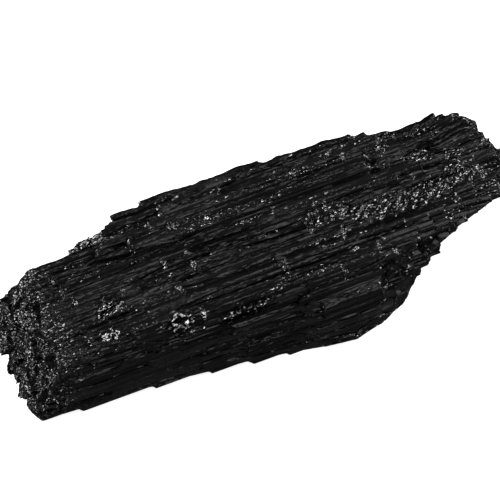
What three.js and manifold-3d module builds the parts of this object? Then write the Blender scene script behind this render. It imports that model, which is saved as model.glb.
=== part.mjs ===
// A raw black tourmaline (schorl) crystal: a log of parallel columns grown together along one long axis,
// broken across at both ends and lying on one of its flat prism faces.
// Millimetres. X runs along the columns, Y from the front to the back, Z up from the face it rests on.
import * as THREE from 'three';
import { mergeVertices } from 'three/addons/utils/BufferGeometryUtils.js';
import Module from 'manifold-3d';

const wasm = await Module();
wasm.setup();

// Driving dimensions
const LENGTH = 107; // along the columns, from break to break
const MIDDLE = 53; // where the log is thickest
const SURVEY_STEP = 0.5; // spacing of the places where the outside is looked up
const CORE_RANGE = [5, 101]; // the part of the length that has a solid heart
const CORE_STATIONS = 16;
const CORE_DEPTH = { front: 0.9, frontFoot: 0.35, baseFront: 0, baseBack: 0, other: 1.9 }; // under each edge
const COLUMN_HEIGHT = 4.4;
const COLUMN_WIDTH = [1.5, 4.8]; // most columns are near the narrow end of this range
const COLUMN_OVERLAP = 1.4; // column width over lane width, so that neighbours grow into each other
const COLUMN_FLAT = 0.66; // share of a column's width that its outer flat takes up
const COLUMN_LEAN = 0.13; // how far a column may be turned about its own length, in radians
const COLUMN_FIT = 0.74; // share of a column's section that must lie inside the log's outline
const LEVELS = [-3, 7.5]; // from the proudest columns to the deepest
const LEVEL_STEP = [0.7, 1.4]; // drop from one layer of columns to the next
const SHORTEST = 4; // shortest column kept
const LONGER_BY = 1; // a lower column is kept where it shows this much more length than the one above
const SNAPPED_LOSS = 0.55; // most of its stretch that a column which broke off short has lost
const END_SLANT = 0.8; // how far a broken column end leans along the log, any way
const END_SCATTER = 0.8; // how far a column may stop short of its stretch or run past it
const PITH = { y: [-13, 15], z: [2, 29], spacing: 5.2, scatter: 1.2, width: 6.4 }; // the columns inside
const LEFT_BREAK = { near: 1.6, far: -1.4, ragged: 2.2, depth: 30 }; // the upper front lies furthest in
const RIGHT_RAGGED = 3;
const HOLLOW_ROUGHNESS = 0.16;
const WELD = 1e-4; // points closer than this are one point
const SEED = 28;
const ALONG = new THREE.Vector3(1, 0, 0);

// The lengthwise edges of the log, in order round its section, as [x, y, z] points
const EDGES = {
  ridge: [
    [0, 6.0, 26.2],
    [8, 7.8, 28.2],
    [22, 9.2, 29.4],
    [25, 10.5, 30.6],
    [34, 11.2, 31.2],
    [53, 11.1, 31.1],
    [66, 10.3, 30.3],
    [76, 10.2, 30.2],
    [86, 8.9, 29.1],
    [97.5, 8.9, 29.2],
    [107, 0.3, 21.6],
  ],
  ledgeTop: [
    [0, -2.0, 22.4],
    [26, -1.2, 25.2],
    [32, -0.4, 26.6],
    [74, -0.5, 26.3],
    [82, -1.0, 24.5],
    [107, -2.4, 20.0],
  ],
  ledgeFoot: [
    [0, -2.8, 21.9],
    [26, -1.6, 24.5],
    [32, -0.5, 25.3],
    [74, -0.7, 25.0],
    [82, -1.6, 23.9],
    [107, -2.9, 19.7],
  ],
  front: [
    [0, -11.3, 17.4],
    [20, -12.6, 18.8],
    [50, -13.6, 19.9],
    [70, -14.3, 18.6],
    [85, -12.0, 18.6],
    [96, -9.8, 18.0],
    [107, -5.6, 17.4],
  ],
  frontFoot: [
    [0, -6.6, 1.0],
    [6, -8.2, 1.0],
    [26, -9.0, 1.0],
    [43, -11.4, 1.0],
    [53, -12.4, 1.0],
    [61, -15.6, 0.8],
    [68, -15.4, 0.8],
    [77.6, -11.4, 1.4],
    [78, -8.4, 3.4],
    [82, -9.0, 6.8],
    [86.5, -8.9, 11.4],
    [88, -9.0, 14.2],
    [95, -8.0, 16.2],
    [107, -4.6, 16.8],
  ],
  baseFront: [
    [0, -4.2, 0],
    [43, -9.6, 0],
    [62, -14.0, 0],
    [77.5, -9.4, 0],
    [84, -3.5, 0.4],
    [92, 0.5, 2.4],
    [107, 1.0, 9.4],
  ],
  baseBack: [
    [0, 3.8, 0],
    [30, 6.6, 0],
    [70, 7.4, 0],
    [88, 6.8, 0],
    [96, 6.2, 1.6],
    [107, 3.6, 10],
  ],
  backFoot: [
    [0, 7.2, 3.4],
    [30, 10.6, 2.4],
    [70, 11.6, 2.6],
    [92, 10.4, 4.0],
    [107, 6.0, 11.6],
  ],
  back: [
    [0, 11.8, 14.4],
    [24, 14.8, 14.8],
    [58, 16.6, 15.2],
    [80, 15.4, 14.8],
    [96, 12.4, 15.0],
    [107, 5.4, 16],
  ],
};
const EDGE_NAMES = Object.keys(EDGES);
const EDGE_LINES = Object.values(EDGES);

// The faces between the edges: how uneven the column tops on each are, the share of columns that broke off
// short, and how far a column's outer flat stops short of its inner side at each end. Faces without columns
// of their own are null.
const FACES = [
  { name: 'upperSlab', columns: { uneven: 0.7, snapped: 0.35, taper: 2.8 } },
  { name: 'ledge', columns: null },
  { name: 'broadFace', columns: { uneven: 0.7, snapped: 0.35, taper: 2.8 } },
  { name: 'frontWall', columns: { uneven: 0.5, snapped: 0.2, taper: 0.6 } },
  { name: 'frontBevel', columns: null },
  { name: 'base', columns: null },
  { name: 'backBevel', columns: { uneven: 0.5, snapped: 0.3, taper: 1.5 } },
  { name: 'backWall', columns: { uneven: 0.8, snapped: 0.4, taper: 2.0 } },
  { name: 'backSlope', columns: { uneven: 0.8, snapped: 0.5, taper: 2.8 } },
];
const faceNamed = (name) => FACES.findIndex((face) => face.name === name);

// Hollows broken out of the faces: across the face from 0 to 1, centre along the log, and half sizes along
// the log, across it and into it
const HOLLOWS = [
  { face: 'broadFace', across: 0.2, x: 80, size: [14, 4.2, 1.5] },
  { face: 'broadFace', across: 0.3, x: 16.5, size: [5, 1.4, 1.4] },
  { face: 'broadFace', across: 0.96, x: 14, size: [3.2, 2.0, 2.2] },
  { face: 'broadFace', across: 0.95, x: 28, size: [5, 1.8, 1.4] },
  { face: 'ledge', across: 0.6, x: 32, size: [17, 0.8, 1.3] },
  { face: 'ledge', across: 0.5, x: 60, size: [14, 0.7, 1.2] },
  { face: 'upperSlab', across: 0.3, x: 60, size: [4, 1.2, 0.9] },
  { face: 'upperSlab', across: 0.62, x: 88, size: [5, 1.6, 1.1] },
  { face: 'frontWall', across: 0.62, x: 44.6, size: [0.7, 1.6, 1.2] },
  { face: 'frontWall', across: 0.12, x: 71, size: [3.4, 1.2, 1.3] },
  { face: 'backWall', across: 0.4, x: 36, size: [8, 2.4, 1.4] },
  { face: 'backSlope', across: 0.5, x: 68, size: [9, 2.2, 1.4] },
];

// A repeatable stream of numbers from 0 to 1
function randomStream(seed) {
  let state = seed >>> 0;
  return () => {
    state = (Math.imul(state, 1664525) + 1013904223) >>> 0;
    return state / 4294967296;
  };
}
const random = randomStream(SEED);
const between = ([low, high]) => low + (high - low) * random();
const either = (reach) => reach * (2 * random() - 1);

// The point of an edge at one place along the log
function edgeAt(points, x) {
  let i = 1;
  while (i < points.length - 1 && points[i][0] < x) i += 1;
  const [a, b] = [points[i - 1], points[i]];
  const t = THREE.MathUtils.clamp((x - a[0]) / (b[0] - a[0]), 0, 1);
  return new THREE.Vector3(x, THREE.MathUtils.lerp(a[1], b[1], t), THREE.MathUtils.lerp(a[2], b[2], t));
}

const sectionAt = (x) => EDGE_LINES.map((line) => edgeAt(line, x));

const SURVEY = Array.from({ length: LENGTH / SURVEY_STEP + 1 }, (_, i) => sectionAt(i * SURVEY_STEP));

// A point on the log's outside: across runs from 0 to 1 over one face
function onFace(face, across, x) {
  return edgeAt(EDGE_LINES[face], x).lerp(edgeAt(EDGE_LINES[(face + 1) % EDGE_LINES.length], x), across);
}

// The direction out of a face, square to the log's length
function outOf(face) {
  const a = onFace(face, 0, MIDDLE);
  const b = onFace(face, 1, MIDDLE);
  return new THREE.Vector3(0, b.z - a.z, a.y - b.y).normalize();
}

// Whether a spot lies inside the log's section
function holds(section, spot) {
  let inside = false;
  section.forEach((a, i) => {
    const b = section[(i + 1) % section.length];
    if (a.z > spot.z === b.z > spot.z) return;
    if (spot.y < a.y + ((b.y - a.y) * (spot.z - a.z)) / (b.z - a.z)) inside = !inside;
  });
  return inside;
}

// The longest stretch of the log that holds all the given spots of a section
function stretch(spots) {
  let best = [0, 0];
  let start = 0;
  SURVEY.forEach((section, i) => {
    if (!spots.every((spot) => holds(section, spot))) start = i + 1;
    if (i - start > best[1] - best[0]) best = [start, i];
  });
  return best.map((i) => i * SURVEY_STEP);
}

// A geometry with nothing but its corner points, each held once
function bare(geometry) {
  geometry.deleteAttribute('normal');
  geometry.deleteAttribute('uv');
  return mergeVertices(geometry, WELD);
}

function solid(geometry) {
  const { attributes, index } = bare(geometry);
  return new wasm.Manifold(
    new wasm.Mesh({
      numProp: 3,
      vertProperties: attributes.position.array,
      triVerts: new Uint32Array(index.array),
    }),
  );
}

// The heart of the log: a cylinder's grid drawn a little inside its faces
function core() {
  const around = EDGE_LINES.length;
  const grid = new THREE.CylinderGeometry(1, 1, 1, around, CORE_STATIONS);
  const place = grid.attributes.position;
  for (let i = 0; i < place.count; i += 1) {
    const x = THREE.MathUtils.lerp(...CORE_RANGE, place.getY(i) + 0.5);
    const section = sectionAt(x);
    const spot = new THREE.Vector3();
    section.forEach((point) => spot.addScaledVector(point, 1 / around));
    if (Math.hypot(place.getX(i), place.getZ(i)) > 0.5) {
      const turn = Math.atan2(place.getX(i), place.getZ(i)) / (2 * Math.PI);
      const line = (Math.round(turn * around) + around) % around;
      const inwards = spot.clone().sub(section[line]).normalize();
      spot.copy(section[line]).addScaledVector(inwards, CORE_DEPTH[EDGE_NAMES[line]] ?? CORE_DEPTH.other);
    }
    place.setXYZ(i, spot.x, spot.y, spot.z);
  }
  return solid(grid);
}

// The corners of a column's section: six-sided, with one broad flat facing out
function corners({ spot, out, width, height }, size) {
  const side = new THREE.Vector3(0, out.z, -out.y);
  const outline = [
    [1, 0],
    [COLUMN_FLAT, 1],
    [-COLUMN_FLAT, 1],
    [-1, 0],
    [-COLUMN_FLAT, -1],
    [COLUMN_FLAT, -1],
  ];
  return outline.map(([u, v]) =>
    spot
      .clone()
      .addScaledVector(side, (size * width * u) / 2)
      .addScaledVector(out, (size * height * v) / 2),
  );
}

// One column along X, with both ends broken at a slant
function column(shape, range) {
  const rim = corners(shape, 1);
  const prism = new THREE.CylinderGeometry(1, 1, 1, rim.length);
  const place = prism.attributes.position;
  const slants = range.map(() => [either(END_SLANT), either(END_SLANT)]);
  for (let i = 0; i < place.count; i += 1) {
    const [u, v] = [place.getX(i), place.getZ(i)];
    const end = place.getY(i) < 0 ? 0 : 1;
    const turn = Math.round((Math.atan2(u, v) / (2 * Math.PI)) * rim.length);
    const spot = Math.hypot(u, v) > 0.5 ? rim[(turn + rim.length) % rim.length] : shape.spot;
    const outward = spot.clone().sub(shape.spot).dot(shape.out) / shape.height + 0.5;
    const taper = shape.taper * outward * (end === 0 ? 1 : -1);
    place.setXYZ(i, range[end] + taper + slants[end][0] * u + slants[end][1] * v, spot.y, spot.z);
  }
  return solid(prism);
}

// Where a column stops at each end, once the log's broken ends and chance have cut its stretch
function broken([start, end], spot) {
  const { near, far, ragged, depth } = LEFT_BREAK;
  const nearness = THREE.MathUtils.smoothstep(spot.z - spot.y, 0, depth);
  const left = THREE.MathUtils.lerp(far, near, nearness) + ragged * random() ** 2;
  const right = LENGTH - RIGHT_RAGGED * random();
  return [Math.max(start + either(END_SCATTER), left), Math.min(end + either(END_SCATTER), right)];
}

// What is left of a column's stretch after it has broken off short at one end
function snapped([start, end]) {
  const loss = SNAPPED_LOSS * random() * (end - start);
  return random() < 0.5 ? [start + loss, end] : [start, end - loss];
}

// The columns of one lane: layer under layer, each as long as the log is thick enough to hold it
function lane(face, across, width) {
  const made = [];
  const { uneven, snapped: share, taper } = FACES[face].columns;
  const top = onFace(face, across, MIDDLE);
  let longest = 0;
  for (let depth = LEVELS[0] + uneven * random(); depth < LEVELS[1]; depth += between(LEVEL_STEP)) {
    const out = outOf(face).applyAxisAngle(ALONG, either(COLUMN_LEAN));
    const spot = top.clone().addScaledVector(outOf(face), -depth - COLUMN_HEIGHT / 2);
    const shape = { spot, out, width: COLUMN_OVERLAP * width, height: COLUMN_HEIGHT, taper };
    const whole = stretch(corners(shape, COLUMN_FIT));
    const range = random() < share ? snapped(whole) : whole;
    if (range[1] - range[0] < Math.max(SHORTEST, longest + LONGER_BY)) continue;
    longest = range[1] - range[0];
    made.push(column(shape, broken(range, spot)));
  }
  return made;
}

function lanes() {
  const made = [];
  FACES.forEach(({ columns }, face) => {
    if (!columns) return;
    const breadth = onFace(face, 0, MIDDLE).distanceTo(onFace(face, 1, MIDDLE));
    let edge = 0;
    while (edge < breadth) {
      const width = THREE.MathUtils.lerp(...COLUMN_WIDTH, random() ** 2);
      made.push(...lane(face, Math.min(edge + width / 2, breadth) / breadth, width));
      edge += width;
    }
  });
  return made;
}

// A hollow: a rough lump laid over a face so that it bites as deep as asked
function hollow({ face, across, x, size: [long, wide, deep] }) {
  const side = faceNamed(face);
  const out = outOf(side);
  const lump = bare(new THREE.IcosahedronGeometry(1, 1));
  const place = lump.attributes.position;
  for (let i = 0; i < place.count; i += 1) {
    const swell = 1 + either(HOLLOW_ROUGHNESS);
    place.setXYZ(i, swell * place.getX(i), swell * place.getY(i), swell * place.getZ(i));
  }
  const frame = new THREE.Matrix4().makeBasis(
    ALONG.clone().multiplyScalar(long),
    new THREE.Vector3(0, out.z, -out.y).multiplyScalar(wide),
    out.clone().multiplyScalar(2 * deep),
  );
  frame.setPosition(onFace(side, across, x).addScaledVector(out, deep));
  return solid(lump.applyMatrix4(frame));
}

// The columns of the inside, which show where the log is broken
function pith() {
  const made = [];
  for (let y = PITH.y[0]; y <= PITH.y[1]; y += PITH.spacing) {
    for (let z = PITH.z[0]; z <= PITH.z[1]; z += PITH.spacing) {
      const out = new THREE.Vector3(0, 0, 1).applyAxisAngle(ALONG, either(Math.PI));
      const spot = new THREE.Vector3(0, y + either(PITH.scatter), z + either(PITH.scatter));
      const shape = { spot, out, width: PITH.width, height: PITH.width, taper: 0 };
      const range = stretch(corners(shape, COLUMN_FIT));
      if (range[1] - range[0] > SHORTEST) made.push(column(shape, broken(range, spot)));
    }
  }
  return made;
}

let log = core();
[...lanes(), ...pith()].forEach((piece) => {
  log = log.add(piece);
});
HOLLOWS.forEach((shape) => {
  log = log.subtract(hollow(shape));
});
log = log.trimByPlane([0, 0, 1], 0);

// Gaps left closed in between the columns are solid stone: only the outermost skin is kept
const skins = log.decompose().sort((a, b) => b.volume() - a.volume());
log = skins[0];

function geometryOf(manifold) {
  const mesh = manifold.getMesh();
  const geometry = new THREE.BufferGeometry();
  geometry.setAttribute('position', new THREE.BufferAttribute(new Float32Array(mesh.vertProperties), 3));
  geometry.setIndex(new THREE.BufferAttribute(new Uint32Array(mesh.triVerts), 1));
  return geometry;
}

const schorl = new THREE.MeshStandardMaterial({ color: 0x1c1c1d, roughness: 0.45, metalness: 0 });
const crystal = new THREE.Mesh(geometryOf(log), schorl);
crystal.name = 'crystal';

// The part's origin is on the resting face, under the middle of the log's box
const box = new THREE.Box3().setFromObject(crystal);
crystal.position.set(-(box.min.x + box.max.x) / 2, -(box.min.y + box.max.y) / 2, -box.min.z);

const part = new THREE.Group();
part.add(crystal);

export default part;
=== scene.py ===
"""Looks of a raw black tourmaline crystal: a log of striated columns, sparkling where it is broken."""

import math

import bpy
from bpy.props import FloatProperty, FloatVectorProperty, IntProperty, PointerProperty
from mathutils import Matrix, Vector


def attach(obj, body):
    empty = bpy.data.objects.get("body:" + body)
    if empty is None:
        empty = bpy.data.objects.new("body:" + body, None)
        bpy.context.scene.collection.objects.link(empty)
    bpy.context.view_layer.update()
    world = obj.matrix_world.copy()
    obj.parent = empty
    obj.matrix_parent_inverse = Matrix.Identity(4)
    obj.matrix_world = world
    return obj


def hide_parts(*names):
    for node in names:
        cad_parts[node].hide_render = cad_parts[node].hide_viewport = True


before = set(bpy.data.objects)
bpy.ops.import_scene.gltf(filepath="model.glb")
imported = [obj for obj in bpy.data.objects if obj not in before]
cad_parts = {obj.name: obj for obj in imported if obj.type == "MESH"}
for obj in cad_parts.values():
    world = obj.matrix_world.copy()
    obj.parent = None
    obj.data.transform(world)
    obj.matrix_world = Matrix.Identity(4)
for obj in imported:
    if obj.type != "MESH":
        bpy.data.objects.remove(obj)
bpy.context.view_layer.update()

bl_info = {
    "name": "Black tourmaline crystal",
    "version": (1, 0, 0),
    "blender": (4, 5, 0),
    "location": "View3D > Sidebar > Crystal",
    "description": "Dresses a raw black tourmaline crystal and sets it on a pale studio floor",
    "category": "Object",
}

MM = 0.001

# Patterns drawn out along the columns: length and width of their marks in millimetres, and detail
RELIEF_PATTERNS = (
    ("rows", 16.0, 1.5, 3.0),
    ("grooves", 70.0, 1.5, 2.5),
    ("sheets", 34.0, 2.8, 1.0),
    ("cracks", 60.0, 3.0, 0.0),
    ("chips", 3.0, 1.3, 3.0),
    ("lumps", 6.0, 3.0, 3.0),
    ("fibres", 20.0, 0.6, 2.0),
)
PATTERN_RANGE = (0.25, 0.75)  # most of a pattern's values lie in here

# How far these patterns stand up and down, in groove depths
RELIEF_SHARES = {"grooves": 1.0, "chips": 0.6, "sheets": 1.0, "lumps": 1.6}
SHEET_STEP = 0.09  # from one sheet of columns to the next, in pattern values
RIDGE_SIZE = (3.6, 0.9)  # length and width of the ridges in the broken places, in millimetres
GRAIN_SIZE = (1.0, 0.7)  # length and width of the broken grains, in millimetres
RIB_SPACING = 1.0  # millimetres
WAVE_UNIT = math.tau / 20  # scale at which the wave texture repeats once in a unit
ASLANT = math.radians(-38)  # turns the direction of the ridges and strokes to the length of the log

# Parts of the log: where each begins and is full, in millimetres
BLUNT_END = (-41.0, -50.0)
SLANTED_END = (42.0, 50.0)
TOP_EDGE = (6.0, 9.0)
FOOT = (0.3, 1.6)

# Faces that look up, along the log and to the front: part of the normal where each begins and is full
UPWARD = (0.3, 0.7)
ENDWARD = (0.5, 0.9)
FRONTWARD = (-0.4, -0.7)

# Places where the columns broke away and the stone glitters: middle and reach, in millimetres
GLITTER_SPOTS = (
    ((28.0, -4.2, 22.0), (13.0, 2.8, 4.0)),
    ((40.5, -2.4, 21.5), (5.0, 2.6, 3.0)),
    ((10.4, -2.9, 24.0), (6.0, 1.8, 3.0)),
    ((34.3, 1.6, 24.4), (3.0, 0.9, 2.0)),
    ((8.3, 5.7, 29.3), (2.2, 1.0, 2.0)),
    ((16.5, 7.0, 29.0), (1.0, 0.7, 2.0)),
    ((-11.0, 2.9, 27.5), (1.3, 0.7, 2.0)),
    ((27.1, 4.6, 27.7), (1.3, 1.2, 2.0)),
    ((13.3, -10.7, 20.5), (1.7, 0.8, 2.0)),
    ((-36.0, -4.9, 21.3), (2.8, 1.2, 2.0)),
    ((-38.1, -9.9, 19.9), (2.4, 1.0, 1.4)),
    ((-24.2, -11.7, 18.4), (3.4, 1.9, 2.8)),
    ((-19.5, -12.8, 20.1), (1.1, 0.9, 2.0)),
    ((-11.0, -13.3, 17.4), (7.0, 0.9, 2.6)),
    ((-34.0, 8.1, 27.5), (1.6, 1.2, 1.6)),
    ((-51.4, 3.3, 18.5), (1.2, 0.6, 3.2)),
    ((-50.5, 4.5, 23.2), (1.2, 0.7, 2.6)),
)
SPOT_EDGE = (1.1, 1.5)  # where a spot fades, in shares of its reach
SPOT_RAGGED = 0.8  # how far the chips eat into a spot's edge

# The band of smooth ribs on the front edge, near the slanted end: middle and reach, in millimetres
RIB_BAND = ((36.0, -10.2, 19.0), (20.0, 3.0, 4.0))

# Where the front wall broke away under the ribs: lowest and highest corners, in millimetres
BROKEN_WALL = ((17.5, -20.0, 9.0), (40.0, -7.0, 17.8))
WALL_FADE = 1.2

# Long cracks on the upper faces: start and end along the log, and place across it at either, in millimetres
LONG_CRACKS = (
    (-18.0, 2.5, -0.9, -1.0),
    (2.0, 27.0, 1.8, 1.7),
    (-43.0, -31.0, -7.1, -7.3),
    (-31.0, -14.0, 9.1, 8.8),
    (-45.0, -26.0, 4.7, 2.1),
)
LONG_CRACK_SIDES = (0.12, 0.42)  # from the bottom of a long crack to its rim
LONG_CRACK_FADE = 2.0
LONG_CRACK_SHARE = 1.6  # depth of a long crack, in depths of the others
CRACK_SIDE = 0.018  # from the bottom of any other crack to its rim, in pattern values

# Corners that stand out or fall back from the columns beside them: middle, reach and push, in millimetres
FULL_CORNERS = (
    ((47.0, 5.6, 25.6), (8.0, 5.0, 5.0), (0.7, 0.7, 0.9)),
    ((35.5, 8.0, 28.5), (6.0, 4.0, 4.0), (0.0, -0.4, -0.6)),
    ((-52.5, -3.5, 3.0), (5.0, 5.0, 5.0), (-1.9, 0.0, 0.0)),
    ((21.5, -12.8, 4.8), (4.0, 4.0, 3.0), (0.8, -0.6, -0.6)),
)
CORNER_EDGE = (0.4, 1.0)  # where a corner's push fades, in shares of its reach
LOWEST = (-1.0, -1.0, 0.0)  # metres: well clear of the log either way, and level with the resting face
WELD = 0.001  # millimetres between corners of the solid that are one corner

# Patterns of the skin: length and width of their marks in millimetres, and detail; real striations go finer
SKIN_PATTERNS = (
    ("lines", 24.0, 0.42, 2.0),
    ("streaks", 30.0, 1.2, 4.0),
)
STRIATION_DEPTH = 0.08
FLAKE_SIZE = (0.36, 0.24)  # the finest real ones are smaller, and these are as coarse as they need to show
SNAPPED_FLAKE_SIZE = (0.8, 0.26)
SNAPPED_PLANES = ((-0.62, -0.32, 0.72), (0.40, -0.50, 0.77))  # what the snapped flakes face, by either end
SNAPPED_SHARES = (0.85, 0.38)  # how closely they keep to it
SNAPPED_CHANGE = (-5.0, 5.0)  # where along the log one plane gives way to the other, in millimetres
BLUNT_LEAN = (0.2, -0.12, 0.35)  # how far the flakes of the blunt end lean, in lengths of the normal
TOURMALINE_IOR = 1.64

# The view: the place looked at, the width seen there and the camera's sensor, in millimetres
VIEW_MIDDLE = (-1.6, 3.4, 15.9)
VIEW_WIDTH = 96.15
SENSOR_WIDTH = 36

# Strength of the light all round, and of the backdrop that the camera sees in its place
ROOM_LIGHT = 0.022
BACKDROP_LIGHT = 1.0


def linear(colour):
    """An sRGB hex colour as linear red, green and blue."""
    parts = [int(colour[i : i + 2], 16) / 255 for i in (1, 3, 5)]
    return [p / 12.92 if p <= 0.04045 else ((p + 0.055) / 1.055) ** 2.4 for p in parts]


def node(tree, kind, inputs=None, **settings):
    """Adds one node to a tree, with its settings, values and links."""
    made = tree.nodes.new(kind)
    for name, value in settings.items():
        setattr(made, name, value)
    for socket, value in (inputs or {}).items():
        if isinstance(value, bpy.types.Node):
            value = value.outputs[0]
        if isinstance(value, bpy.types.NodeSocket):
            tree.links.new(value, made.inputs[socket])
        else:
            made.inputs[socket].default_value = value
    return made


def reach_share(tree, mm, middle, reach):
    """How far a place lies from a middle, as a share of the reach each way."""
    away = node(tree, "ShaderNodeVectorMath", {0: mm, 1: middle}, operation="SUBTRACT")
    scaled = node(tree, "ShaderNodeVectorMath", {0: away, 1: reach}, operation="DIVIDE")
    return node(tree, "ShaderNodeVectorMath", {0: scaled}, operation="LENGTH").outputs["Value"]


def held_between(tree, value, low, high, fade):
    """One between two values and nothing past them, fading over a margin inside either."""
    past = node(tree, "ShaderNodeMath", {0: value, 1: (low + high) / 2}, operation="SUBTRACT")
    past = node(tree, "ShaderNodeMath", {0: past}, operation="ABSOLUTE")
    half = (high - low) / 2
    return node(tree, "ShaderNodeMapRange", {0: past, 1: half - fade, 2: half, 3: 1.0, 4: 0.0})


def deselect():
    """Leaves edit mode and selects nothing."""
    if bpy.context.object and bpy.context.object.mode != "OBJECT":
        bpy.ops.object.mode_set(mode="OBJECT")
    bpy.ops.object.select_all(action="DESELECT")


class StoneSettings(bpy.types.PropertyGroup):
    cell: FloatProperty(
        name="Cell of the mesh",
        description="Width of the cells that the crystal is remeshed with, across the columns",
        default=0.16 * MM,
        min=0.1 * MM,
        precision=5,
        unit="LENGTH",
    )
    stretch: FloatProperty(
        name="Cell stretch",
        description="How many times longer than wide the cells are, along the columns",
        default=3.0,
        min=1.0,
    )
    triangles: IntProperty(
        name="Triangles",
        description="Most triangles that the finished crystal may have",
        default=190000,
        min=1000,
    )
    groove: FloatProperty(
        name="Groove depth",
        description="Depth of the grooves that run along the columns",
        default=0.32 * MM,
        precision=5,
        unit="LENGTH",
    )
    rib: FloatProperty(
        name="Rib height",
        description="Height of the ribs on the front edge",
        default=0.3 * MM,
        precision=5,
        unit="LENGTH",
    )
    crack: FloatProperty(
        name="Crack depth",
        description="Depth of the cracks between the columns",
        default=0.7 * MM,
        precision=5,
        unit="LENGTH",
    )
    fallen: FloatProperty(
        name="Broken wall",
        description="How far back the wall stands where it broke away under the ribs",
        default=0.9 * MM,
        precision=5,
        unit="LENGTH",
    )
    fibre: FloatProperty(
        name="Fibre ends",
        description="How far the fibres of a broken end stand apart along the log",
        default=0.5 * MM,
        precision=5,
        unit="LENGTH",
    )
    grain: FloatProperty(
        name="Fracture grain",
        description="Height of the broken grains where the stone glitters",
        default=0.15 * MM,
        precision=5,
        unit="LENGTH",
    )
    # The dark colour also serves as painted shade in the cracks
    dark: FloatVectorProperty(
        name="Dark stone",
        description="Colour of the stone in the smooth grooves",
        subtype="COLOR",
        default=linear("#050505"),
    )
    light: FloatVectorProperty(
        name="Light stone",
        description="Colour of the stone where its skin is dusty or broken",
        subtype="COLOR",
        default=linear("#1a1a1b"),
    )


class StageSettings(bpy.types.PropertyGroup):
    floor: FloatProperty(
        name="Floor",
        description="Side of the square floor",
        default=8.0,
        unit="LENGTH",
    )
    floor_colour: FloatVectorProperty(
        name="Floor colour",
        description="Colour of the plain floor",
        subtype="COLOR",
        default=linear("#f4f4f4"),
    )
    azimuth: FloatProperty(
        name="Azimuth",
        description="Direction the camera looks from, round the crystal",
        default=math.radians(-27),
        subtype="ANGLE",
    )
    elevation: FloatProperty(
        name="Elevation",
        description="Height of the camera above the horizon",
        default=math.radians(45),
        subtype="ANGLE",
    )
    lens: FloatProperty(
        name="Lens",
        description="Focal length of the camera in millimetres",
        default=600,
        unit="CAMERA",
    )


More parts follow.
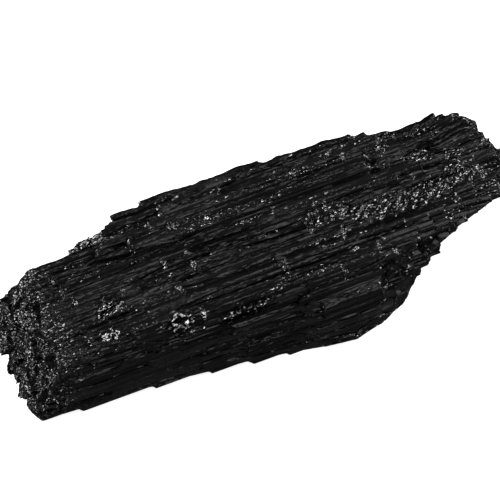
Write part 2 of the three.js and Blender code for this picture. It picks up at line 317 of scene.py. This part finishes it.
def relief_tree(stone):
    """Geometry nodes that cut grooves, cracks, steps and broken grains into the crystal's skin."""
    tree = bpy.data.node_groups.new("crystal_relief", "GeometryNodeTree")
    tree.interface.new_socket("Geometry", in_out="INPUT", socket_type="NodeSocketGeometry")
    tree.interface.new_socket("Geometry", in_out="OUTPUT", socket_type="NodeSocketGeometry")
    source = node(tree, "NodeGroupInput")
    place = node(tree, "GeometryNodeInputPosition")
    facing = node(tree, "GeometryNodeInputNormal")
    mm = node(tree, "ShaderNodeVectorMath", {0: place, "Scale": 1 / MM}, operation="SCALE")
    x, y, z = node(tree, "ShaderNodeSeparateXYZ", {0: mm}).outputs
    along, across, up = node(tree, "ShaderNodeSeparateXYZ", {0: facing}).outputs
    noise = {}
    for name, length, width, detail in RELIEF_PATTERNS:
        space = node(
            tree, "ShaderNodeVectorMath", {0: mm, 1: (1 / length, 1 / width, 1 / width)}, operation="MULTIPLY"
        )
        noise[name] = node(tree, "ShaderNodeTexNoise", {"Vector": space, "Scale": 1.0, "Detail": detail})

    # Where the stone is broken and glitters: the listed spots, the ends, and rows along the upper columns
    near, past = SPOT_EDGE
    within = []
    for middle, reach in (*GLITTER_SPOTS, RIB_BAND):
        far = reach_share(tree, mm, middle, reach)
        far = node(
            tree, "ShaderNodeMath", {0: noise["chips"], 1: SPOT_RAGGED, 2: far}, operation="MULTIPLY_ADD"
        )
        within.append(node(tree, "ShaderNodeMapRange", {0: far, 1: near, 2: past, 3: 1.0, 4: 0.0}))
    band = within.pop()
    glitter = within.pop()
    for spot in within:
        glitter = node(tree, "ShaderNodeMath", {0: glitter, 1: spot}, operation="MAXIMUM")
    begin, full = BLUNT_END
    blunt = node(tree, "ShaderNodeMapRange", {0: x, 1: begin, 2: full, 3: 0.0, 4: 0.9})
    begin, full = SLANTED_END
    slanted = node(tree, "ShaderNodeMapRange", {0: x, 1: begin, 2: full, 3: 0.0, 4: 0.45})
    ends = node(tree, "ShaderNodeMath", {0: blunt, 1: slanted}, operation="MAXIMUM")
    begin, full = UPWARD
    upper = node(tree, "ShaderNodeMapRange", {0: up, 1: begin, 2: full, 3: 0.1, 4: 1.0})
    rows = node(tree, "ShaderNodeMapRange", {0: noise["rows"], 1: 0.5, 2: 0.72, 3: 0.0, 4: 1.0})
    rows = node(tree, "ShaderNodeMath", {0: rows, 1: upper}, operation="MULTIPLY")
    broken = node(tree, "ShaderNodeMath", {0: glitter, 1: ends}, operation="MAXIMUM")
    broken = node(tree, "ShaderNodeMath", {0: broken, 1: rows}, operation="MAXIMUM")
    calm = node(tree, "ShaderNodeMath", {0: 1.0, 1: band}, operation="SUBTRACT")
    broken = node(tree, "ShaderNodeMath", {0: broken, 1: calm}, operation="MULTIPLY")

    # Rounded columns, chipped a little, lumpy on the top edge, and shallow steps from one sheet to the next
    low, high = PATTERN_RANGE
    noise["sheets"] = node(tree, "ShaderNodeMath", {0: noise["sheets"], 1: SHEET_STEP}, operation="SNAP")
    relief = {}
    for name, share in RELIEF_SHARES.items():
        relief[name] = node(
            tree, "ShaderNodeMapRange", {0: noise[name], 1: low, 2: high, 3: -share, 4: share}
        )
    begin, full = TOP_EDGE
    edge = node(tree, "ShaderNodeMapRange", {0: y, 1: begin, 2: full, 3: 0.15, 4: 1.0})
    for name, where in (("chips", upper), ("sheets", upper), ("lumps", edge)):
        relief[name] = node(tree, "ShaderNodeMath", {0: relief[name], 1: where}, operation="MULTIPLY")
    begin, full = ENDWARD
    lengthwise = node(tree, "ShaderNodeMath", {0: along}, operation="ABSOLUTE")
    lengthwise = node(tree, "ShaderNodeMapRange", {0: lengthwise, 1: begin, 2: full, 3: 1.0, 4: 0.2})

    # Ribs on the front edge
    rib_space = node(
        tree, "ShaderNodeVectorMath", {0: mm, 1: (0.0, 1 / RIB_SPACING, 0.0)}, operation="MULTIPLY"
    )
    ribs = node(
        tree,
        "ShaderNodeTexWave",
        {"Vector": rib_space, "Scale": WAVE_UNIT},
        bands_direction="Y",
        wave_profile="TRI",
    )
    ribs = node(tree, "ShaderNodeMapRange", {0: ribs.outputs["Fac"], 1: 0.0, 2: 1.0, 3: -0.5, 4: 0.5})
    ribs = node(tree, "ShaderNodeMath", {0: ribs, 1: band}, operation="MULTIPLY")

    # Short ridges that cross the broken places aslant
    length, width = RIDGE_SIZE
    aslant = node(tree, "ShaderNodeVectorRotate", {"Vector": mm, "Angle": ASLANT}, rotation_type="Z_AXIS")
    ridge_space = node(
        tree, "ShaderNodeVectorMath", {0: aslant, 1: (1 / length, 1 / width, 1 / width)}, operation="MULTIPLY"
    )
    ridges = node(tree, "ShaderNodeTexNoise", {"Vector": ridge_space, "Scale": 1.0, "Detail": 1.0})
    ridges = node(tree, "ShaderNodeMapRange", {0: ridges, 1: low, 2: high, 3: -1.0, 4: 1.0})
    ridges = node(tree, "ShaderNodeMath", {0: ridges, 1: glitter}, operation="MULTIPLY")

    # Cracks between the columns: lines where a drawn-out pattern passes its middle value, and the long ones
    cracks = node(tree, "ShaderNodeMath", {0: noise["cracks"], 1: 0.5}, operation="SUBTRACT")
    cracks = node(tree, "ShaderNodeMath", {0: cracks}, operation="ABSOLUTE")
    cracks = node(tree, "ShaderNodeMapRange", {0: cracks, 1: 0.0, 2: CRACK_SIDE, 3: 1.0, 4: 0.0})
    wander = node(tree, "ShaderNodeMapRange", {0: noise["grooves"], 1: 0.0, 2: 1.0, 3: -0.5, 4: 0.5})
    bottom, rim = LONG_CRACK_SIDES
    for start, end, start_place, end_place in LONG_CRACKS:
        line = node(tree, "ShaderNodeMapRange", {0: x, 1: start, 2: end, 3: start_place, 4: end_place})
        aside = node(tree, "ShaderNodeMath", {0: y, 1: line}, operation="SUBTRACT")
        aside = node(tree, "ShaderNodeMath", {0: aside, 1: wander}, operation="ADD")
        aside = node(tree, "ShaderNodeMath", {0: aside}, operation="ABSOLUTE")
        crack = node(tree, "ShaderNodeMapRange", {0: aside, 1: bottom, 2: rim, 3: LONG_CRACK_SHARE, 4: 0.0})
        for where in (held_between(tree, x, start, end, LONG_CRACK_FADE), upper):
            crack = node(tree, "ShaderNodeMath", {0: crack, 1: where}, operation="MULTIPLY")
        cracks = node(tree, "ShaderNodeMath", {0: cracks, 1: crack}, operation="MAXIMUM")

    # The wall that broke away under the ribs, which has no broken grains
    begin, full = FRONTWARD
    fallen = node(tree, "ShaderNodeMapRange", {0: across, 1: begin, 2: full, 3: 0.0, 4: 1.0})
    for value, lowest, highest in zip((x, y, z), *BROKEN_WALL):
        held = held_between(tree, value, lowest, highest, WALL_FADE)
        fallen = node(tree, "ShaderNodeMath", {0: fallen, 1: held}, operation="MULTIPLY")
    whole = node(tree, "ShaderNodeMath", {0: 1.0, 1: fallen}, operation="SUBTRACT")
    broken = node(tree, "ShaderNodeMath", {0: broken, 1: whole}, operation="MULTIPLY")

    # Broken grains: cells of stone that stand at different heights
    length, width = GRAIN_SIZE
    grain_space = node(
        tree, "ShaderNodeVectorMath", {0: mm, 1: (1 / length, 1 / width, 1 / width)}, operation="MULTIPLY"
    )
    grains = node(tree, "ShaderNodeTexVoronoi", {"Vector": grain_space, "Scale": 1.0})
    grains = node(tree, "ShaderNodeSeparateXYZ", {0: grains.outputs["Color"]}).outputs["X"]
    grains = node(tree, "ShaderNodeMapRange", {0: grains, 1: 0.0, 2: 1.0, 3: -1.0, 4: 0.6})
    loose = node(tree, "ShaderNodeMath", {0: glitter, 1: -0.7, 2: broken}, operation="MULTIPLY_ADD")
    grains = node(tree, "ShaderNodeMath", {0: grains, 1: loose}, operation="MULTIPLY")

    # Ends of the fibres, which slip along the log
    slip = node(tree, "ShaderNodeMath", {0: noise["fibres"], 1: along}, operation="MULTIPLY")
    slip = node(tree, "ShaderNodeMath", {0: slip, 1: -stone.fibre}, operation="MULTIPLY")
    slip = node(tree, "ShaderNodeCombineXYZ", {0: slip})

    # The corners that stand out or fall back
    push = slip
    near, past = CORNER_EDGE
    for middle, reach, way in FULL_CORNERS:
        far = reach_share(tree, mm, middle, reach)
        held = node(tree, "ShaderNodeMapRange", {0: far, 1: near, 2: past, 3: MM, 4: 0.0}).outputs[0]
        corner = node(tree, "ShaderNodeVectorMath", {0: way, "Scale": held}, operation="SCALE")
        push = node(tree, "ShaderNodeVectorMath", {0: push, 1: corner}, operation="ADD")

    # All of it together; the resting face stays flat
    height = 0.0
    for form in relief.values():
        height = node(tree, "ShaderNodeMath", {0: form, 1: stone.groove, 2: height}, operation="MULTIPLY_ADD")
    for where in (calm, lengthwise):
        height = node(tree, "ShaderNodeMath", {0: height, 1: where}, operation="MULTIPLY")
    for form, amount in (
        (ribs, stone.rib),
        (ridges, stone.groove),
        (grains, stone.grain),
        (cracks, -stone.crack),
        (fallen, -stone.fallen),
    ):
        height = node(tree, "ShaderNodeMath", {0: form, 1: amount, 2: height}, operation="MULTIPLY_ADD")
    begin, full = FOOT
    lifted = node(tree, "ShaderNodeMapRange", {0: z, 1: begin, 2: full, 3: 0.0, 4: 1.0})
    height = node(tree, "ShaderNodeMath", {0: height, 1: lifted}, operation="MULTIPLY")
    offset = node(tree, "ShaderNodeVectorMath", {0: facing, "Scale": height}, operation="SCALE")
    offset = node(tree, "ShaderNodeVectorMath", {0: offset, 1: push}, operation="ADD")
    moved = node(tree, "ShaderNodeVectorMath", {0: place, 1: offset}, operation="ADD")
    moved = node(tree, "ShaderNodeVectorMath", {0: moved, 1: LOWEST}, operation="MAXIMUM")
    shaped = node(tree, "GeometryNodeSetPosition", {"Geometry": source, "Position": moved})
    grit = node(tree, "ShaderNodeMath", {0: upper, 1: 0.1, 2: broken}, operation="MULTIPLY_ADD")
    # The crack mask also tells the material where to paint shade into the cracks
    for name, value in (("broken", grit), ("glitter", glitter), ("crack", cracks), ("blunt", blunt)):
        shaped = node(
            tree,
            "GeometryNodeStoreNamedAttribute",
            {"Geometry": shaped, "Name": name, "Value": value},
            data_type="FLOAT",
            domain="POINT",
        )
    node(tree, "NodeGroupOutput", {0: shaped})
    return tree


def schorl(stone):
    """Schorl, the black iron tourmaline, as grown and broken: near black right through, glassy on its fine
    lengthwise striations, with small flat flakes that flash where the columns snapped."""
    material = bpy.data.materials.new("schorl")
    material.use_nodes = True
    tree = material.node_tree
    tree.nodes.clear()
    place = node(tree, "ShaderNodeTexCoord")
    mm = node(tree, "ShaderNodeVectorMath", {0: place.outputs["Object"], "Scale": 1 / MM}, operation="SCALE")
    marked = {
        name: node(tree, "ShaderNodeAttribute", attribute_name=name).outputs["Fac"]
        for name in ("broken", "glitter", "crack", "blunt")
    }

    # Striations about half a millimetre apart, and dusty and clean streaks, drawn out along the columns
    skin = {}
    for name, length, width, detail in SKIN_PATTERNS:
        space = node(
            tree, "ShaderNodeVectorMath", {0: mm, 1: (1 / length, 1 / width, 1 / width)}, operation="MULTIPLY"
        )
        skin[name] = node(tree, "ShaderNodeTexNoise", {"Vector": space, "Scale": 1.0, "Detail": detail})

    # Dust lightens and dulls the stone; the cracks get painted shade, kept free of dust so that they take the
    # dark colour, and are duller still
    dust_and_crack_shade = node(tree, "ShaderNodeMapRange", {0: skin["streaks"], 1: 0.35, 2: 0.7, 3: 0.0, 4: 1.0})
    clear = node(tree, "ShaderNodeMath", {0: 1.0, 1: marked["crack"]}, operation="SUBTRACT", use_clamp=True)
    dust_and_crack_shade = node(tree, "ShaderNodeMath", {0: dust_and_crack_shade, 1: clear}, operation="MULTIPLY")
    # Stone colour: dust streaks, and painted shade in the cracks
    colour = node(
        tree, "ShaderNodeMix", {0: dust_and_crack_shade, 6: (*stone.dark, 1), 7: (*stone.light, 1)}, data_type="RGBA"
    )
    rough = node(tree, "ShaderNodeMapRange", {0: skin["streaks"], 1: 0.3, 2: 0.7, 3: 0.18, 4: 0.28})
    rough = node(tree, "ShaderNodeMath", {0: marked["crack"], 1: 0.3, 2: rough}, operation="MULTIPLY_ADD")
    rough = node(tree, "ShaderNodeMath", {0: marked["glitter"], 1: -0.06, 2: rough}, operation="MULTIPLY_ADD")

    # Flakes, each turned its own way: they are longer and run aslant where the columns snapped
    aslant = node(tree, "ShaderNodeVectorRotate", {"Vector": mm, "Angle": ASLANT}, rotation_type="Z_AXIS")
    kinds = []
    for where, (length, width) in ((mm, FLAKE_SIZE), (aslant, SNAPPED_FLAKE_SIZE)):
        scale = (1 / length, 1 / width, 1 / width)
        space = node(tree, "ShaderNodeVectorMath", {0: where, 1: scale}, operation="MULTIPLY")
        kinds.append(node(tree, "ShaderNodeTexVoronoi", {"Vector": space, "Scale": 1.0}).outputs["Color"])
    flakes = node(tree, "ShaderNodeMix", {0: marked["glitter"], 6: kinds[0], 7: kinds[1]}, data_type="RGBA")
    turn = node(
        tree, "ShaderNodeVectorMath", {0: flakes.outputs[2], 1: (0.5, 0.5, 0.5)}, operation="SUBTRACT"
    )

    # They turn more where the stone is broken, most on the blunt end, where they also lean up
    amount = node(tree, "ShaderNodeMapRange", {0: marked["broken"], 1: 0.0, 2: 1.0, 3: 0.06, 4: 1.1})
    for name, more in (("glitter", -0.5), ("blunt", 0.5)):
        amount = node(tree, "ShaderNodeMath", {0: marked[name], 1: more, 2: amount}, operation="MULTIPLY_ADD")
    turn = node(tree, "ShaderNodeVectorMath", {0: turn, "Scale": amount.outputs[0]}, operation="SCALE")
    lean = node(tree, "ShaderNodeVectorMath", {0: BLUNT_LEAN, "Scale": marked["blunt"]}, operation="SCALE")
    turn = node(tree, "ShaderNodeVectorMath", {0: turn, 1: lean}, operation="ADD")

    # The snapped flakes share a plane, which faces the nearer end
    side = node(tree, "ShaderNodeSeparateXYZ", {0: mm}).outputs["X"]
    begin, full = SNAPPED_CHANGE
    side = node(tree, "ShaderNodeMapRange", {0: side, 1: begin, 2: full, 3: 0.0, 4: 1.0})
    by_blunt, by_slanted = SNAPPED_PLANES
    plane = node(tree, "ShaderNodeMix", {0: side, 4: by_blunt, 5: by_slanted}, data_type="VECTOR")
    by_blunt, by_slanted = SNAPPED_SHARES
    share = node(tree, "ShaderNodeMapRange", {0: side, 1: 0.0, 2: 1.0, 3: by_blunt, 4: by_slanted})
    share = node(tree, "ShaderNodeMath", {0: share, 1: marked["glitter"]}, operation="MULTIPLY")
    normal = node(tree, "ShaderNodeNewGeometry").outputs["Normal"]
    normal = node(tree, "ShaderNodeMix", {0: share, 4: normal, 5: plane.outputs[1]}, data_type="VECTOR")
    turn = node(tree, "ShaderNodeVectorMath", {0: normal.outputs[1], 1: turn}, operation="ADD")
    turn = node(tree, "ShaderNodeVectorMath", {0: turn}, operation="NORMALIZE")
    bump = node(
        tree,
        "ShaderNodeBump",
        {"Height": skin["lines"], "Strength": 0.8, "Distance": STRIATION_DEPTH * MM, "Normal": turn},
    )
    surface = node(
        tree,
        "ShaderNodeBsdfPrincipled",
        {
            "Base Color": colour.outputs[2],
            "Roughness": rough,
            "IOR": TOURMALINE_IOR,
            "Normal": bump,
        },
    )
    node(tree, "ShaderNodeOutputMaterial", {0: surface})
    return material


class CRYSTAL_OT_stone(bpy.types.Operator):
    """Dresses the crystal: grooved columns, ragged breaks and glittering flakes"""

    bl_idname = "crystal.stone"
    bl_label = "Crystal"

    def execute(self, context):
        stone = context.scene.crystal_stone
        deselect()
        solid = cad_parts["crystal"]
        solid.select_set(True)
        context.view_layer.objects.active = solid
        bpy.ops.object.duplicate()
        log = context.view_layer.objects.active
        log.name = "crystal_log"
        bpy.ops.object.mode_set(mode="EDIT")
        bpy.ops.mesh.select_all(action="SELECT")
        bpy.ops.mesh.remove_doubles(threshold=WELD * MM)
        bpy.ops.object.mode_set(mode="OBJECT")
        log.scale.x = 1 / stone.stretch
        bpy.ops.object.transform_apply(location=False, rotation=False)
        remesh = log.modifiers.new("cells", "REMESH")
        remesh.mode = "VOXEL"
        remesh.voxel_size = stone.cell
        bpy.ops.object.modifier_apply(modifier=remesh.name)
        log.scale.x = stone.stretch
        bpy.ops.object.transform_apply(location=False, rotation=False)
        relief = log.modifiers.new("relief", "NODES")
        relief.node_group = relief_tree(stone)
        bpy.ops.object.modifier_apply(modifier=relief.name)
        thin = log.modifiers.new("thin", "DECIMATE")
        thin.ratio = min(1.0, stone.triangles / sum(len(face.vertices) - 2 for face in log.data.polygons))
        bpy.ops.object.modifier_apply(modifier=thin.name)
        bpy.ops.object.shade_flat()
        log.data.materials.clear()
        log.data.materials.append(schorl(stone))
        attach(log, "root")
        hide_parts("crystal")
        return {"FINISHED"}


class CRYSTAL_OT_stage(bpy.types.Operator):
    """Sets the crystal on a pale floor under soft lamps, and adds the camera"""

    bl_idname = "crystal.stage"
    bl_label = "Stage"

    # Lamps: name, direction from the crystal, distance, width and height in metres, and power in watts
    LAMPS = (
        ("key_left", (-0.80, 0.05, 0.60), 0.9, 0.35, 0.35, 9.0),
        ("key_right", (0.90, -0.10, 0.42), 0.9, 0.30, 0.35, 5.5),
        ("front", (0.33, -0.78, 0.53), 0.9, 0.5, 0.6, 1.0),
        ("rear_left", (-0.90, 0.35, 0.22), 1.0, 0.25, 0.2, 3.2),
    )

    def execute(self, context):
        stage = context.scene.crystal_stage
        deselect()
        bpy.ops.mesh.primitive_plane_add(size=stage.floor)
        floor = context.object
        floor.name = "floor"
        # White paper, matt and lit until it is as pale as the backdrop, so that only the stone stands out
        paper = bpy.data.materials.new("white_paper")
        paper.use_nodes = True
        paper.node_tree.nodes.clear()
        sheet = node(
            paper.node_tree,
            "ShaderNodeBsdfPrincipled",
            {
                "Base Color": (*stage.floor_colour, 1),
                "Roughness": 0.9,
                "Emission Color": (1, 1, 1, 1),
                "Emission Strength": 0.9,
            },
        )
        node(paper.node_tree, "ShaderNodeOutputMaterial", {0: sheet})
        floor.data.materials.append(paper)
        floor.visible_glossy = False

        for name, direction, distance, width, height, power in self.LAMPS:
            away = Vector(direction).normalized()
            bpy.ops.object.light_add(type="AREA", location=away * distance)
            lamp = context.object
            lamp.name = name
            lamp.rotation_euler = away.to_track_quat("Z", "Y").to_euler()
            lamp.data.shape = "RECTANGLE"
            lamp.data.size = width
            lamp.data.size_y = height
            lamp.data.energy = power
            lamp.visible_camera = False

        world = bpy.data.worlds.new("studio")
        context.scene.world = world
        world.use_nodes = True
        world.node_tree.nodes.clear()
        seen = node(world.node_tree, "ShaderNodeLightPath")
        room = node(world.node_tree, "ShaderNodeBackground", {0: (1, 1, 1, 1), 1: ROOM_LIGHT})
        backdrop = node(world.node_tree, "ShaderNodeBackground", {0: (1, 1, 1, 1), 1: BACKDROP_LIGHT})
        seen = seen.outputs["Is Camera Ray"]
        mixed = node(world.node_tree, "ShaderNodeMixShader", {0: seen, 1: room, 2: backdrop})
        node(world.node_tree, "ShaderNodeOutputWorld", {0: mixed})
        context.scene.view_settings.view_transform = "Standard"

        level = math.cos(stage.elevation)
        rise = math.sin(stage.elevation)
        back = Vector((math.sin(stage.azimuth) * level, -math.cos(stage.azimuth) * level, rise))
        distance = stage.lens * VIEW_WIDTH / SENSOR_WIDTH
        bpy.ops.object.camera_add(location=(Vector(VIEW_MIDDLE) + back * distance) * MM)
        camera = context.object
        camera.rotation_euler = (-back).to_track_quat("-Z", "Y").to_euler()
        camera.data.lens = stage.lens
        camera.data.sensor_width = SENSOR_WIDTH
        context.scene.camera = camera
        return {"FINISHED"}


class CRYSTAL_PT_panel(bpy.types.Panel):
    """The crystal's pieces and their settings"""

    bl_idname = "CRYSTAL_PT_panel"
    bl_label = "Crystal"
    bl_space_type = "VIEW_3D"
    bl_region_type = "UI"
    bl_category = "Crystal"

    def draw(self, context):
        for operator, group in (
            (CRYSTAL_OT_stone, context.scene.crystal_stone),
            (CRYSTAL_OT_stage, context.scene.crystal_stage),
        ):
            self.layout.operator(operator.bl_idname)
            for name in group.__annotations__:
                self.layout.prop(group, name)


CLASSES = (StoneSettings, StageSettings, CRYSTAL_OT_stone, CRYSTAL_OT_stage, CRYSTAL_PT_panel)


def register():
    for cls in CLASSES:
        bpy.utils.register_class(cls)
    bpy.types.Scene.crystal_stone = PointerProperty(type=StoneSettings)
    bpy.types.Scene.crystal_stage = PointerProperty(type=StageSettings)


def unregister():
    del bpy.types.Scene.crystal_stage
    del bpy.types.Scene.crystal_stone
    for cls in reversed(CLASSES):
        bpy.utils.unregister_class(cls)


def main():
    register()
    bpy.ops.crystal.stone()
    bpy.ops.crystal.stage()


if __name__ == "__main__":
    main()
